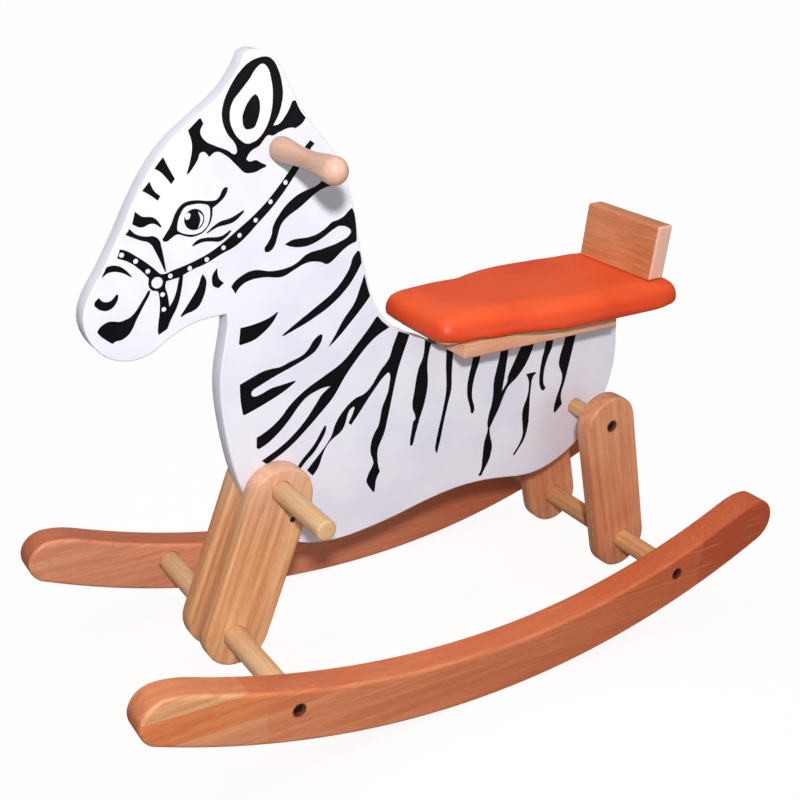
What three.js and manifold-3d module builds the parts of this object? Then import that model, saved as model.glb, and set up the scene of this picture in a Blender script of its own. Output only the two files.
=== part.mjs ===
// A toddler's wooden rocking horse: a flat painted board cut to the shape of a standing
// animal, held by four legs and cross dowels between two curved rockers, with turned hand
// grips, a footrest dowel and a padded seat.
// Millimetres. +X runs forward to the head, +Y to the animal's left, +Z up.
// The origin is on the floor, midway between the rockers' outer faces and their tips.
import * as THREE from "three";
import { mergeVertices } from "three/addons/utils/BufferGeometryUtils.js";
import Module from "manifold-3d";

const wasm = await Module();
wasm.setup();

// ---------------------------------------------------------------- driving dimensions
const touchGap = 0.3; // left between pieces that meet face to face
const boreGap = 0.3; // radial room around a dowel, stud or screw in its hole

// Rockers
const rockerSpan = 685; // over both tips
const rockerTrack = 280; // over both outer faces
const rockerThickness = 28;
const rollRadius = 805; // lower edge, which rolls on the floor
const rockerDepth = 50; // between the two edges at the middle
const frontHalf = { backRadius: 816, tipRadius: 20.5 }; // its upper edge and round tip
const rearHalf = { backRadius: 735, tipRadius: 24 };
const floorFlat = 16; // length of the short flat the lower edge stands on
const tipBlend = 30; // run of the curve that leads from the upper edge into the tip

// Dowels: radius, and where each crosses the animal's plane
const frontLowerDowelRadius = 10;
const rearLowerDowelRadius = 10;
const lowerDowelX = 211; // in front of and behind the middle
const frontDowelBelowEdge = 18; // axis under the rocker's upper edge
const rearDowelBelowEdge = 18.5;
const lowerDowelSocket = 15; // depth of its blind hole in each rocker
const footrestRadius = 9;
const footrestX = 169;
const footrestZ = 190;
const footrestReach = { left: 75, right: 40 }; // stands out of each front leg
const footrestChamfer = 2; // broken edge of its two free ends
const dowelChamfer = 1; // and of every other dowel
const rearDowelRadius = 8;
const rearDowelX = -172;
const rearDowelZ = 197;
const rearDowelSocket = 9; // depth of its blind hole in each rear leg

// Legs
const legWidth = 60;
const legThickness = 18;
const frontLegFoot = 30; // wood below the lower dowel's axis
const frontLegCrown = 22; // wood above the footrest's axis
const frontLegSetback = 4; // leg's centre line behind its dowels
const rearLegFoot = 32;
const rearLegCrown = 30;
const rearLegStandoff = 36.5; // between the board's face and the leg

// Animal board
const boardThickness = 16;
const seatFrontX = 7; // where the board's flat top meets the curve of the neck
const seatTopZ = 290; // the flat top's height there
const seatPitch = THREE.MathUtils.degToRad(1.7); // the flat top rises to the rear
const rumpTopX = -211;

// Hand grips
const gripX = 171;
const gripZ = 473;
const gripLength = 93;
const gripInnerRadius = 9.7; // swell beside the board
const gripWaistRadius = 7.3;
const gripOuterRadius = 10.3; // swell at the free end
const gripFootRadius = 6; // flat that meets the board
const gripEndRound = 10; // length of the rounded free end
const studRadius = 4;
const studSocket = 24; // depth of the stud's hole in each grip

// Seat, in a frame that is turned by seatPitch about the front of the flat top
const seatBoardLength = 178;
const seatBoardWidth = 100;
const seatBoardThickness = 14;
const cushionThickness = 24; // foam and cover, down over the base's edge
const cushionBaseThickness = 9;
const cushionHem = 7; // cushion outside the base, all round
const backrestWidth = 98;
const backrestHeight = 52;
const backrestThickness = 18;
const backrestX = -215; // front face, at the cushion
const backrestLean = THREE.MathUtils.degToRad(5); // from square to the seat, backwards

// Screws and pins: a flat round head on a plain shank
const dowelScrew = { headRadius: 4.3, headHeight: 2.4, shankRadius: 2.1, length: 38 };
const legScrew = { headRadius: 4.3, headHeight: 2.4, shankRadius: 2.1, length: 32 };
const seatScrew = { headRadius: 4, headHeight: 2.2, shankRadius: 2, length: 40 };
const baseScrew = { headRadius: 3.8, headHeight: 2, shankRadius: 1.8, length: 17 };
const backrestScrew = { headRadius: 4.2, headHeight: 2.2, shankRadius: 2, length: 52 };
const legPin = { headRadius: 2.4, headHeight: 1.2, shankRadius: 1.1 };
const legPinBite = 6; // into the board
const legPinBelow = 25; // under the footrest's axis, along the leg
const legPinBehind = 20; // behind the footrest's axis, across the leg
const counterboreRadius = 5.2;
const rockerCounterbore = 4.5; // depth of the sunk hole over a screw's head
const legCounterbore = 4;
const screwSpacing = { seatBoard: 70, baseAlong: 120, baseAcross: 60, backrest: 56 };

// ---------------------------------------------------------------- geometry helpers
const roundSides = 32;
const boltSides = 16;
const overcut = 1; // how far a cutting body runs past the surface it opens
const sameSpot = 0.01; // closer points than this are one point

// Points on an arc about (x, z), from one angle to the other, both ends included.
function arc(x, z, radius, from, to, steps) {
  const points = [];
  for (let step = 0; step <= steps; step++) {
    const angle = from + ((to - from) * step) / steps;
    points.push(new THREE.Vector2(x + radius * Math.cos(angle), z + radius * Math.sin(angle)));
  }
  return points;
}

// A smooth line through chosen points, [x, z] pairs.
function smooth(pairs, steps) {
  const points = pairs.map(([x, z]) => new THREE.Vector2(x, z));
  return new THREE.SplineCurve(points).getPoints(steps);
}

// The outline with points that repeat their neighbour left out.
function tidy(points) {
  return points.filter((point, i) => point.distanceTo(points.at(i - 1)) > sameSpot);
}

// A slab whose outline lies in the XZ plane, its thickness centred on y = 0.
function uprightSlab(outline, thickness) {
  const shape = new THREE.Shape(tidy(outline));
  const geometry = new THREE.ExtrudeGeometry(shape, { depth: thickness, bevelEnabled: false });
  return geometry.translate(0, 0, -thickness / 2).rotateX(Math.PI / 2);
}

// A slab whose outline lies in the XY plane, from z = 0 up.
function levelSlab(outline, thickness) {
  const shape = new THREE.Shape(tidy(outline));
  return new THREE.ExtrudeGeometry(shape, { depth: thickness, bevelEnabled: false });
}

// A cylinder along Y, centred on the origin.
function rod(radius, length, sides = roundSides) {
  return new THREE.CylinderGeometry(radius, radius, length, sides);
}

// A dowel along Y with its end edges broken.
function dowel(radius, length, chamfer = dowelChamfer) {
  const half = length / 2;
  const profile = [
    [0, -half],
    [radius - chamfer, -half],
    [radius, -half + chamfer],
    [radius, half - chamfer],
    [radius - chamfer, half],
    [0, half],
  ];
  return turned(profile);
}

// A turned body about the Y axis, from its [radius, y] profile.
function turned(profile, sides = roundSides) {
  return new THREE.LatheGeometry(profile.map(([radius, y]) => new THREE.Vector2(radius, y)), sides);
}

// A screw along -Y, its head's seat on y = 0.
function screw(size) {
  const profile = [
    [0, -size.length],
    [size.shankRadius, -size.length],
    [size.shankRadius, 0],
    [size.headRadius, 0],
    [size.headRadius, size.headHeight],
    [0, size.headHeight],
  ];
  return turned(profile, boltSides);
}

// The hole for a screw: its shank's clearance, and the sunk hole over its head.
function screwHole(size, sunkRadius, sunkDepth) {
  const shank = size.shankRadius + boreGap;
  const mouth = sunkDepth + overcut;
  const profile = [
    [0, -size.length - boreGap],
    [shank, -size.length - boreGap],
    [shank, -touchGap],
    [sunkRadius, -touchGap],
    [sunkRadius, mouth],
    [0, mouth],
  ];
  return turned(profile, boltSides);
}

// The hole for a screw whose head lies flush.
function flushHole(size) {
  return screwHole(size, size.headRadius + boreGap, size.headHeight);
}

function solid(geometry) {
  geometry.deleteAttribute("normal");
  geometry.deleteAttribute("uv");
  const merged = mergeVertices(geometry, 1e-4);
  const mesh = new wasm.Mesh({
    numProp: 3,
    vertProperties: merged.attributes.position.array,
    triVerts: Uint32Array.from(merged.index.array),
  });
  return new wasm.Manifold(mesh);
}

function cut(geometry, tools) {
  let body = solid(geometry);
  for (const tool of tools) body = body.subtract(solid(tool));
  const mesh = body.getMesh();
  const result = new THREE.BufferGeometry();
  result.setAttribute("position", new THREE.BufferAttribute(mesh.vertProperties, 3));
  result.setIndex(new THREE.BufferAttribute(mesh.triVerts, 1));
  result.computeVertexNormals();
  return result;
}

// ---------------------------------------------------------------- the assembly
const horse = new THREE.Group();
const seat = new THREE.Group();
seat.position.set(seatFrontX, 0, seatTopZ);
seat.rotation.y = seatPitch;
horse.add(seat);

const paint = { color: 0xececf6, roughness: 0.35, metalness: 0 };
const varnishedWood = { color: 0xc87850, roughness: 0.3, metalness: 0 };
const legWood = { color: 0xd29a68, roughness: 0.35, metalness: 0 };
const paleWood = { color: 0xe0c48c, roughness: 0.5, metalness: 0 };
const gripWood = { color: 0xebbe98, roughness: 0.3, metalness: 0 };
const plywood = { color: 0xd8b48a, roughness: 0.7, metalness: 0 };
const vinyl = { color: 0xeb5528, roughness: 0.4, metalness: 0 };
const steel = { color: 0x8a8078, roughness: 0.4, metalness: 0.9 };

function place(parent, name, geometry, look, x = 0, y = 0, z = 0) {
  const mesh = new THREE.Mesh(geometry, new THREE.MeshStandardMaterial(look));
  mesh.name = name;
  mesh.position.set(x, y, z);
  parent.add(mesh);
  return mesh;
}

// The two sides of the animal, +Y its left.
const sides = [
  { side: "left", sign: 1 },
  { side: "right", sign: -1 },
];

// ---------------------------------------------------------------- rockers
const rockerY = (rockerTrack - rockerThickness) / 2;
const quarter = Math.PI / 2;
const edgeSteps = 20; // along half of a rocker's long edge
const tipSteps = 16;
const blendSteps = 6;

const flatAngle = Math.asin(floorFlat / 2 / rollRadius);
const rollCentreZ = rollRadius * Math.cos(flatAngle);

// Height of the upper edge over a point of one half.
function backEdgeZ(half, x) {
  return rockerDepth + half.backRadius - Math.sqrt(half.backRadius ** 2 - x ** 2);
}

// One half of the outline, from the middle of the lower edge round the tip to the middle
// of the upper edge, drawn forwards.
function halfOutline(half) {
  const tipX = rockerSpan / 2 - half.tipRadius;
  const tipAngle = Math.asin(tipX / (rollRadius - half.tipRadius));
  const tipZ = rollCentreZ - (rollRadius - half.tipRadius) * Math.cos(tipAngle);
  const blendX = tipX - tipBlend;
  const blendAngle = Math.asin(blendX / half.backRadius);
  const blendStart = new THREE.Vector2(blendX, backEdgeZ(half, blendX));
  const blendEnd = new THREE.Vector2(tipX, tipZ + half.tipRadius);
  const cornerX = blendX + (blendEnd.y - blendStart.y) / Math.tan(blendAngle);
  const corner = new THREE.Vector2(cornerX, blendEnd.y);
  const backCentreZ = rockerDepth + half.backRadius;
  return [
    ...arc(0, rollCentreZ, rollRadius, flatAngle - quarter, tipAngle - quarter, edgeSteps),
    ...arc(tipX, tipZ, half.tipRadius, tipAngle - quarter, quarter, tipSteps),
    ...new THREE.QuadraticBezierCurve(blendEnd, corner, blendStart).getPoints(blendSteps),
    ...arc(0, backCentreZ, half.backRadius, blendAngle - quarter, -quarter, edgeSteps),
  ];
}

function rockerOutline() {
  const front = halfOutline(frontHalf);
  const rear = halfOutline(rearHalf).map((point) => new THREE.Vector2(-point.x, point.y));
  return [...front, ...rear.reverse()];
}

const lowerDowels = [
  {
    end: "front",
    x: lowerDowelX,
    z: backEdgeZ(frontHalf, lowerDowelX) - frontDowelBelowEdge,
    radius: frontLowerDowelRadius,
  },
  {
    end: "rear",
    x: -lowerDowelX,
    z: backEdgeZ(rearHalf, lowerDowelX) - rearDowelBelowEdge,
    radius: rearLowerDowelRadius,
  },
];
const [frontLowerDowel, rearLowerDowel] = lowerDowels;
const lowerDowelLength = rockerTrack - 2 * (rockerThickness - lowerDowelSocket + touchGap);
const rockerScrewSeatY = rockerTrack / 2 - rockerCounterbore;

for (const { side, sign } of sides) {
  const tools = [];
  for (const { x, z, radius } of lowerDowels) {
    const socket = rod(radius + boreGap, 2 * lowerDowelSocket);
    tools.push(socket.translate(x, sign * (rockerTrack / 2 - rockerThickness), z));
    const hole = screwHole(dowelScrew, counterboreRadius, rockerCounterbore);
    if (sign < 0) hole.rotateX(Math.PI);
    tools.push(hole.translate(x, sign * rockerScrewSeatY, z));
  }
  const slab = uprightSlab(rockerOutline(), rockerThickness).translate(0, sign * rockerY, 0);
  place(horse, `rocker_${side}`, cut(slab, tools), varnishedWood);
}

for (const { end, x, z, radius } of lowerDowels) {
  const bores = sides.map(({ sign }) => {
    const hole = screwHole(dowelScrew, dowelScrew.shankRadius + boreGap, 0);
    if (sign < 0) hole.rotateX(Math.PI);
    return hole.translate(0, sign * rockerScrewSeatY, 0);
  });
  const body = cut(dowel(radius, lowerDowelLength), bores);
  place(horse, `${end}_lower_dowel`, body, paleWood, x, 0, z);
  for (const { side, sign } of sides) {
    const fastener = place(horse, `${end}_rocker_screw_${side}`, screw(dowelScrew), steel);
    fastener.position.set(x, sign * rockerScrewSeatY, z);
    if (sign < 0) fastener.rotation.x = Math.PI;
  }
}

// ---------------------------------------------------------------- animal board
const crestSteps = 50;
const faceSteps = 52;
const undersideSteps = 66;
const rumpTopZ = seatTopZ + (seatFrontX - rumpTopX) * Math.tan(seatPitch);

// From the front of the flat top, up the neck, over the poll to the ear's tip.
const crest = smooth(
  [
    [seatFrontX, seatTopZ],
    [12, 293],
    [20, 297],
    [30, 300.5],
    [40, 305.5],
    [49, 310.5],
    [57, 316],
    [67, 326],
    [77, 341],
    [84, 361],
    [91, 384],
    [96, 403],
    [100, 420],
    [106, 438],
    [115, 459],
    [127, 474],
    [137, 484.5],
    [147, 496],
    [155, 508],
    [162, 519],
    [168, 530],
    [175, 538.5],
    [184, 543],
    [193, 544],
    [199, 541.5],
  ],
  crestSteps,
);
// From the ear's tip, down the forehead, round the muzzle, back along the jaw to the throat.
const face = smooth(
  [
    [199, 541.5],
    [206, 528],
    [217, 514],
    [232, 501.5],
    [256, 482],
    [272, 463],
    [286, 439],
    [297, 416],
    [310, 391.5],
    [321, 373],
    [325.5, 357],
    [322, 341],
    [310, 326],
    [292, 319.5],
    [275, 322.5],
    [262, 331],
    [248, 339],
    [232, 344],
    [212, 346],
  ],
  faceSteps,
);
// From the throat, down the chest, along the belly and up the rump to the flat top's end.
const underside = smooth(
  [
    [212, 346],
    [211, 338],
    [213, 322],
    [216.5, 300],
    [217, 280],
    [214.5, 258],
    [209, 229],
    [201, 200],
    [188, 172],
    [168, 145],
    [145, 126],
    [120, 118],
    [95, 116.5],
    [70, 119],
    [40, 124],
    [10, 131],
    [-20, 136.5],
    [-50, 138.5],
    [-80, 136.5],
    [-110, 132.5],
    [-130, 132.5],
    [-150, 137.5],
    [-171, 148],
    [-188, 162],
    [-203, 183],
    [-213, 206],
    [-218, 228],
    [-218.5, 248],
    [-215.5, 272],
    [rumpTopX, rumpTopZ],
  ],
  undersideSteps,
);
const throughBoard = boardThickness + 2 * overcut;
const boardBores = [
  rod(footrestRadius + boreGap, throughBoard).translate(footrestX, 0, footrestZ),
  rod(rearDowelRadius + boreGap, throughBoard).translate(rearDowelX, 0, rearDowelZ),
  rod(studRadius + boreGap, throughBoard).translate(gripX, 0, gripZ),
];

// ---------------------------------------------------------------- legs and their dowels
const boardFace = boardThickness / 2;

// A straight leg with round ends, upright, its lower hole on the origin.
function legBlank(holeSpacing, foot, crown, setback) {
  const radius = legWidth / 2;
  const outline = [
    ...arc(-setback, radius - foot, radius, Math.PI, 2 * Math.PI, tipSteps),
    ...arc(-setback, holeSpacing + crown - radius, radius, 0, Math.PI, tipSteps),
  ];
  return uprightSlab(outline, legThickness);
}

const throughLeg = legThickness + 2 * overcut;
const frontHoleSpacing = Math.hypot(footrestX - lowerDowelX, footrestZ - frontLowerDowel.z);
const frontLegLean = Math.atan2(footrestX - lowerDowelX, footrestZ - frontLowerDowel.z);
const frontLegY = boardFace + touchGap + legThickness / 2;
const frontLegOuterY = frontLegY + legThickness / 2;
const legPinSize = { ...legPin, length: legThickness + touchGap + legPinBite - legPin.headHeight };
const legPinSeatY = frontLegOuterY - legPin.headHeight;
const leanSin = Math.sin(frontLegLean);
const leanCos = Math.cos(frontLegLean);
const legPinX = footrestX - legPinBelow * leanSin - legPinBehind * leanCos;
const legPinZ = footrestZ - legPinBelow * leanCos + legPinBehind * leanSin;

for (const { side, sign } of sides) {
  const pinHole = flushHole(legPinSize);
  pinHole.translate(0, legPinSeatY, 0);
  if (sign < 0) pinHole.rotateX(Math.PI);
  boardBores.push(pinHole.clone().translate(legPinX, 0, legPinZ));
  pinHole.translate(-legPinBehind, -sign * frontLegY, frontHoleSpacing - legPinBelow);
  const holes = [
    rod(frontLowerDowelRadius + boreGap, throughLeg),
    rod(footrestRadius + boreGap, throughLeg).translate(0, 0, frontHoleSpacing),
    pinHole,
  ];
  const blank = legBlank(frontHoleSpacing, frontLegFoot, frontLegCrown, frontLegSetback);
  const leg = place(horse, `front_leg_${side}`, cut(blank, holes), legWood);
  leg.position.set(lowerDowelX, sign * frontLegY, frontLowerDowel.z);
  leg.rotation.y = frontLegLean;
  const pin = place(horse, `front_leg_pin_${side}`, screw(legPinSize), steel);
  pin.position.set(legPinX, sign * legPinSeatY, legPinZ);
  if (sign < 0) pin.rotation.x = Math.PI;
}
const footrestLength = 2 * frontLegOuterY + footrestReach.left + footrestReach.right;
const footrestY = (footrestReach.left - footrestReach.right) / 2;
const footrest = dowel(footrestRadius, footrestLength, footrestChamfer);
place(horse, "footrest_dowel", footrest, paleWood, footrestX, footrestY, footrestZ);

const rearHoleSpacing = Math.hypot(rearDowelX + lowerDowelX, rearDowelZ - rearLowerDowel.z);
const rearLegLean = Math.atan2(rearDowelX + lowerDowelX, rearDowelZ - rearLowerDowel.z);
const rearLegInnerY = boardFace + rearLegStandoff;
const rearLegY = rearLegInnerY + legThickness / 2;
const legScrewSeatY = rearLegInnerY + legThickness - legCounterbore;
const rearDowelLength = 2 * (rearLegInnerY + rearDowelSocket - touchGap);

const rearDowelBores = [];
for (const { side, sign } of sides) {
  const hole = screwHole(legScrew, counterboreRadius, legCounterbore);
  hole.translate(0, legScrewSeatY, 0);
  const bore = screwHole(legScrew, legScrew.shankRadius + boreGap, 0).translate(0, legScrewSeatY, 0);
  if (sign < 0) {
    hole.rotateX(Math.PI);
    bore.rotateX(Math.PI);
  }
  rearDowelBores.push(bore);
  const socket = rod(rearDowelRadius + boreGap, 2 * rearDowelSocket);
  const tools = [
    rod(rearLowerDowelRadius + boreGap, throughLeg),
    socket.translate(0, (-sign * legThickness) / 2, rearHoleSpacing),
    hole.translate(0, -sign * rearLegY, rearHoleSpacing),
  ];
  const blank = legBlank(rearHoleSpacing, rearLegFoot, rearLegCrown, 0);
  const leg = place(horse, `rear_leg_${side}`, cut(blank, tools), legWood);
  leg.position.set(-lowerDowelX, sign * rearLegY, rearLowerDowel.z);
  leg.rotation.y = rearLegLean;
  const fastener = place(horse, `rear_leg_screw_${side}`, screw(legScrew), steel);
  fastener.position.set(rearDowelX, sign * legScrewSeatY, rearDowelZ);
  if (sign < 0) fastener.rotation.x = Math.PI;
}
const rearDowel = cut(dowel(rearDowelRadius, rearDowelLength), rearDowelBores);
place(horse, "rear_upper_dowel", rearDowel, paleWood, rearDowelX, 0, rearDowelZ);

// ---------------------------------------------------------------- hand grips
const gripEndY = gripLength - gripEndRound;
const gripSteps = 14;
const gripEndSteps = 5;
const gripSide = smooth(
  [
    [gripFootRadius, 0],
    [gripInnerRadius - 0.7, 3.5],
    [gripInnerRadius, 9],
    [gripInnerRadius - 1, 20],
    [gripWaistRadius, 40],
    [gripWaistRadius + 0.5, 56],
    [gripOuterRadius - 0.7, 72],
    [gripOuterRadius, gripEndY],
  ],
  gripSteps,
);
const gripEnd = arc(0, 0, 1, 0, quarter, gripEndSteps);
const gripProfile = [
  [0, 0],
  ...gripSide.map((point) => [point.x, point.y]),
  ...gripEnd
    .slice(1, -1)
    .map((point) => [gripOuterRadius * point.x, gripEndY + gripEndRound * point.y]),
  [0, gripLength],
];

const gripFootY = boardFace + touchGap;
for (const { side, sign } of sides) {
  const socket = rod(studRadius + boreGap, 2 * studSocket);
  const body = cut(turned(gripProfile), [socket]);
  const grip = place(horse, `handle_grip_${side}`, body, gripWood, gripX, sign * gripFootY, gripZ);
  if (sign < 0) grip.rotation.x = Math.PI;
}
const studLength = 2 * (gripFootY + studSocket - touchGap);
place(horse, "handle_stud", rod(studRadius, studLength, boltSides), steel, gripX, 0, gripZ);

// ---------------------------------------------------------------- seat
const seatBoardTop = touchGap + seatBoardThickness;
const baseZ = seatBoardTop + touchGap;
const baseTop = baseZ + cushionBaseThickness;
const cushionTop = baseZ + cushionThickness;
const seatBoardMiddle = -seatBoardLength / 2;

// Half of the cushion's plan, from the front's middle round to the rear's middle.
const cushionSteps = 48;
const cushionHalf = smooth(
  [
    [27, 0],
    [27, 22],
    [26, 38],
    [19, 48],
    [4, 53],
    [-22, 56],
    [-50, 59],
    [-72, 65],
    [-96, 68.5],
    [-130, 69.5],
    [-180, 69.5],
    [-220, 68.5],
    [-241, 63],
    [-250, 52],
    [-253, 36],
    [-253, 0],
  ],
  cushionSteps,
);
const cushionOutline = [
  ...cushionHalf,
  ...cushionHalf.slice(1, -1).reverse().map((point) => new THREE.Vector2(point.x, -point.y)),
];

// The outline moved inwards by a distance.
function inset(outline, distance) {
  return outline.map((point, i) => {
    const along = outline[(i + 1) % outline.length].clone().sub(outline.at(i - 1)).normalize();
    return new THREE.Vector2(point.x + along.y * -distance, point.y + along.x * distance);
  });
}

// Seat screws go down into the board's top edge; base and backrest screws come up from below.
const seatScrewSeat = seatBoardTop - seatScrew.headHeight - touchGap;
const seatScrewXs = [-0.5, 0.5].map((step) => seatBoardMiddle + step * screwSpacing.seatBoard);
const upright = (geometry) => geometry.rotateX(quarter);
const upsideDown = (geometry) => geometry.rotateX(-quarter);

const seatBoardTools = [];
for (const [i, x] of seatScrewXs.entries()) {
  const hole = upright(flushHole(seatScrew)).translate(x, 0, seatScrewSeat);
  seatBoardTools.push(hole);
  boardBores.push(hole.clone().rotateY(seatPitch).translate(seatFrontX, 0, seatTopZ));
  const fastener = upright(screw(seatScrew));
  place(seat, `seat_board_screw_${i + 1}`, fastener, steel, x, 0, seatScrewSeat);
}

const baseScrewSeat = touchGap + baseScrew.headHeight + touchGap;
const baseTools = [];
let baseScrewCount = 0;
for (const alongStep of [-0.5, 0.5]) {
  for (const acrossStep of [-0.5, 0.5]) {
    const x = seatBoardMiddle + alongStep * screwSpacing.baseAlong;
    const y = acrossStep * screwSpacing.baseAcross;
    const hole = upsideDown(flushHole(baseScrew)).translate(x, y, baseScrewSeat);
    seatBoardTools.push(hole);
    baseTools.push(hole.clone());
    baseScrewCount += 1;
    const fastener = upsideDown(screw(baseScrew));
    place(seat, `cushion_screw_${baseScrewCount}`, fastener, steel, x, y, baseScrewSeat);
  }
}

const backrestMiddleX = backrestX - backrestThickness / 2;
const backrestZ = cushionTop + touchGap;
const backrestScrewSeat = baseZ + backrestScrew.headHeight + touchGap;
const cushionTools = [];
const backrestTools = [];
for (const [i, step] of [-0.5, 0.5].entries()) {
  const y = step * screwSpacing.backrest;
  const hole = upsideDown(flushHole(backrestScrew));
  hole.translate(backrestMiddleX, y, backrestScrewSeat);
  baseTools.push(hole);
  cushionTools.push(hole.clone());
  backrestTools.push(hole.clone());
  const fastener = upsideDown(screw(backrestScrew));
  place(seat, `backrest_screw_${i + 1}`, fastener, steel, backrestMiddleX, y, backrestScrewSeat);
}

const seatPlank = new THREE.BoxGeometry(seatBoardLength, seatBoardWidth, seatBoardThickness);
seatPlank.translate(seatBoardMiddle, 0, touchGap + seatBoardThickness / 2);
place(seat, "seat_board", cut(seatPlank, seatBoardTools), paleWood);

const baseSlab = levelSlab(inset(cushionOutline, cushionHem + touchGap), cushionBaseThickness);
place(seat, "cushion_base", cut(baseSlab.translate(0, 0, baseZ), baseTools), plywood);

const pocketDepth = cushionBaseThickness + touchGap + overcut;
const pocket = levelSlab(inset(cushionOutline, cushionHem), pocketDepth);
cushionTools.push(pocket.translate(0, 0, baseZ - overcut));
const cushionSlab = levelSlab(cushionOutline, cushionThickness).translate(0, 0, baseZ);
place(seat, "seat_cushion", cut(cushionSlab, cushionTools), vinyl);

const leanShift = backrestHeight * Math.tan(backrestLean);
const backrestOutline = [
  new THREE.Vector2(backrestX, backrestZ),
  new THREE.Vector2(backrestX - backrestThickness, backrestZ),
  new THREE.Vector2(backrestX - backrestThickness - leanShift, backrestZ + backrestHeight),
  new THREE.Vector2(backrestX - leanShift, backrestZ + backrestHeight),
];
place(seat, "backrest", cut(uprightSlab(backrestOutline, backrestWidth), backrestTools), varnishedWood);

// The board is cut last, once every hole that enters it is known.
const boardSlab = uprightSlab([...crest, ...face, ...underside], boardThickness);
place(horse, "zebra_board", cut(boardSlab, boardBores), paint);

export default horse;
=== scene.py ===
# %% [markdown]
# # A toddler's rocking horse
#
# A flat board, cut and painted as a young zebra, stands on four wooden legs between two
# curved rockers. The frame already holds every solid in its place. This lesson gives each
# one the surface that a maker would: eased edges, turned ends, varnish, paint and vinyl.
# Units are metres. +X runs forward to the head, +Y to the animal's left, +Z up.

from math import atan2, cos, pi, radians, sin

import bmesh
import bpy
from mathutils import Matrix, Vector


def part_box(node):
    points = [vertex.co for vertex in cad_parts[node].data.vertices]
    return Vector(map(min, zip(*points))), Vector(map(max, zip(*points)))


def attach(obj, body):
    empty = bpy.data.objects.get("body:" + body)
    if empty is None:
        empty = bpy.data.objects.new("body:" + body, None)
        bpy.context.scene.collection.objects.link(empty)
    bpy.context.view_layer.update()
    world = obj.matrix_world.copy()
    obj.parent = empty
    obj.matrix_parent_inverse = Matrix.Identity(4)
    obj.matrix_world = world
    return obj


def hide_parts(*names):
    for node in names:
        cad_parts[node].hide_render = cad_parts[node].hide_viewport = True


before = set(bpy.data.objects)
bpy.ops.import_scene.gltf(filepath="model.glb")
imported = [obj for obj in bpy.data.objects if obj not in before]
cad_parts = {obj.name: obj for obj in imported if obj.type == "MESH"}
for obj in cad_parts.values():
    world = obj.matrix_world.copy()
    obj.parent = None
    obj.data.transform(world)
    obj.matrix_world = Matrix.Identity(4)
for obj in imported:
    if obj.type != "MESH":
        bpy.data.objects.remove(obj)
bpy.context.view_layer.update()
MM = 0.001

# %% [markdown]
# ## The camera
#
# A portrait of a solid object needs one fixed viewpoint. Azimuth and elevation say which way
# the lens looks back to the camera, and a small roll tips the picture a little.

# %% Place the camera
AZIMUTH, ELEVATION, ROLL = radians(144.63055), radians(23.13755), radians(4.09413)
STAND = (0.587845, 0.776901, 0.645629)
back = Vector((sin(AZIMUTH) * cos(ELEVATION), -cos(AZIMUTH) * cos(ELEVATION), sin(ELEVATION)))
level = Vector((cos(AZIMUTH), sin(AZIMUTH), 0))
rise = back.cross(level)
across = cos(ROLL) * level + sin(ROLL) * rise
up = cos(ROLL) * rise - sin(ROLL) * level

camera = bpy.data.objects.new("camera", bpy.data.cameras.new("camera"))
bpy.context.scene.collection.objects.link(camera)
camera.data.sensor_width = 36
camera.data.lens = 51.99
camera.data.clip_end = 200
turn = Matrix((across, up, back)).transposed().to_4x4()
camera.matrix_world = Matrix.Translation(STAND) @ turn
bpy.context.scene.camera = camera
print("camera at", [round(v, 3) for v in camera.matrix_world.translation])

# %% [markdown]
# ## Finishes as Python expressions
#
# A procedural material is a small program. Wrapping a socket in a class lets plain arithmetic
# add the Math nodes, so a pattern reads like the sentence that describes it.


# %% A socket that can be calculated with
class Amount:
    """A number that changes over a surface."""

    def __init__(self, finish, socket):
        self.finish = finish
        self.socket = socket

    def maths(self, operation, *values):
        return self.finish.node("ShaderNodeMath", {"operation": operation}, dict(enumerate(values)))

    def __add__(self, other):
        return self.maths("ADD", self, other)

    def __sub__(self, other):
        return self.maths("SUBTRACT", self, other)

    def __rsub__(self, other):
        return self.maths("SUBTRACT", other, self)

    def __mul__(self, other):
        return self.maths("MULTIPLY", self, other)

    __radd__ = __add__
    __rmul__ = __mul__

    def between(self, low, high):
        """0 below low, 1 above high, and smooth in between."""
        return self.finish.node(
            "ShaderNodeMapRange",
            {"interpolation_type": "SMOOTHSTEP"},
            {"Value": self, "From Min": low, "From Max": high},
        )

    def capped(self):
        return self.maths("MINIMUM", self.maths("MAXIMUM", self, 0), 1)


# %% A material with one way to add a node
def colour(red, green, blue):
    """A screen colour, 0 to 255 a channel, as the light it stands for."""
    channels = (value / 255 for value in (red, green, blue))
    return (*(v / 12.92 if v <= 0.04045 else ((v + 0.055) / 1.055) ** 2.4 for v in channels), 1)


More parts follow.
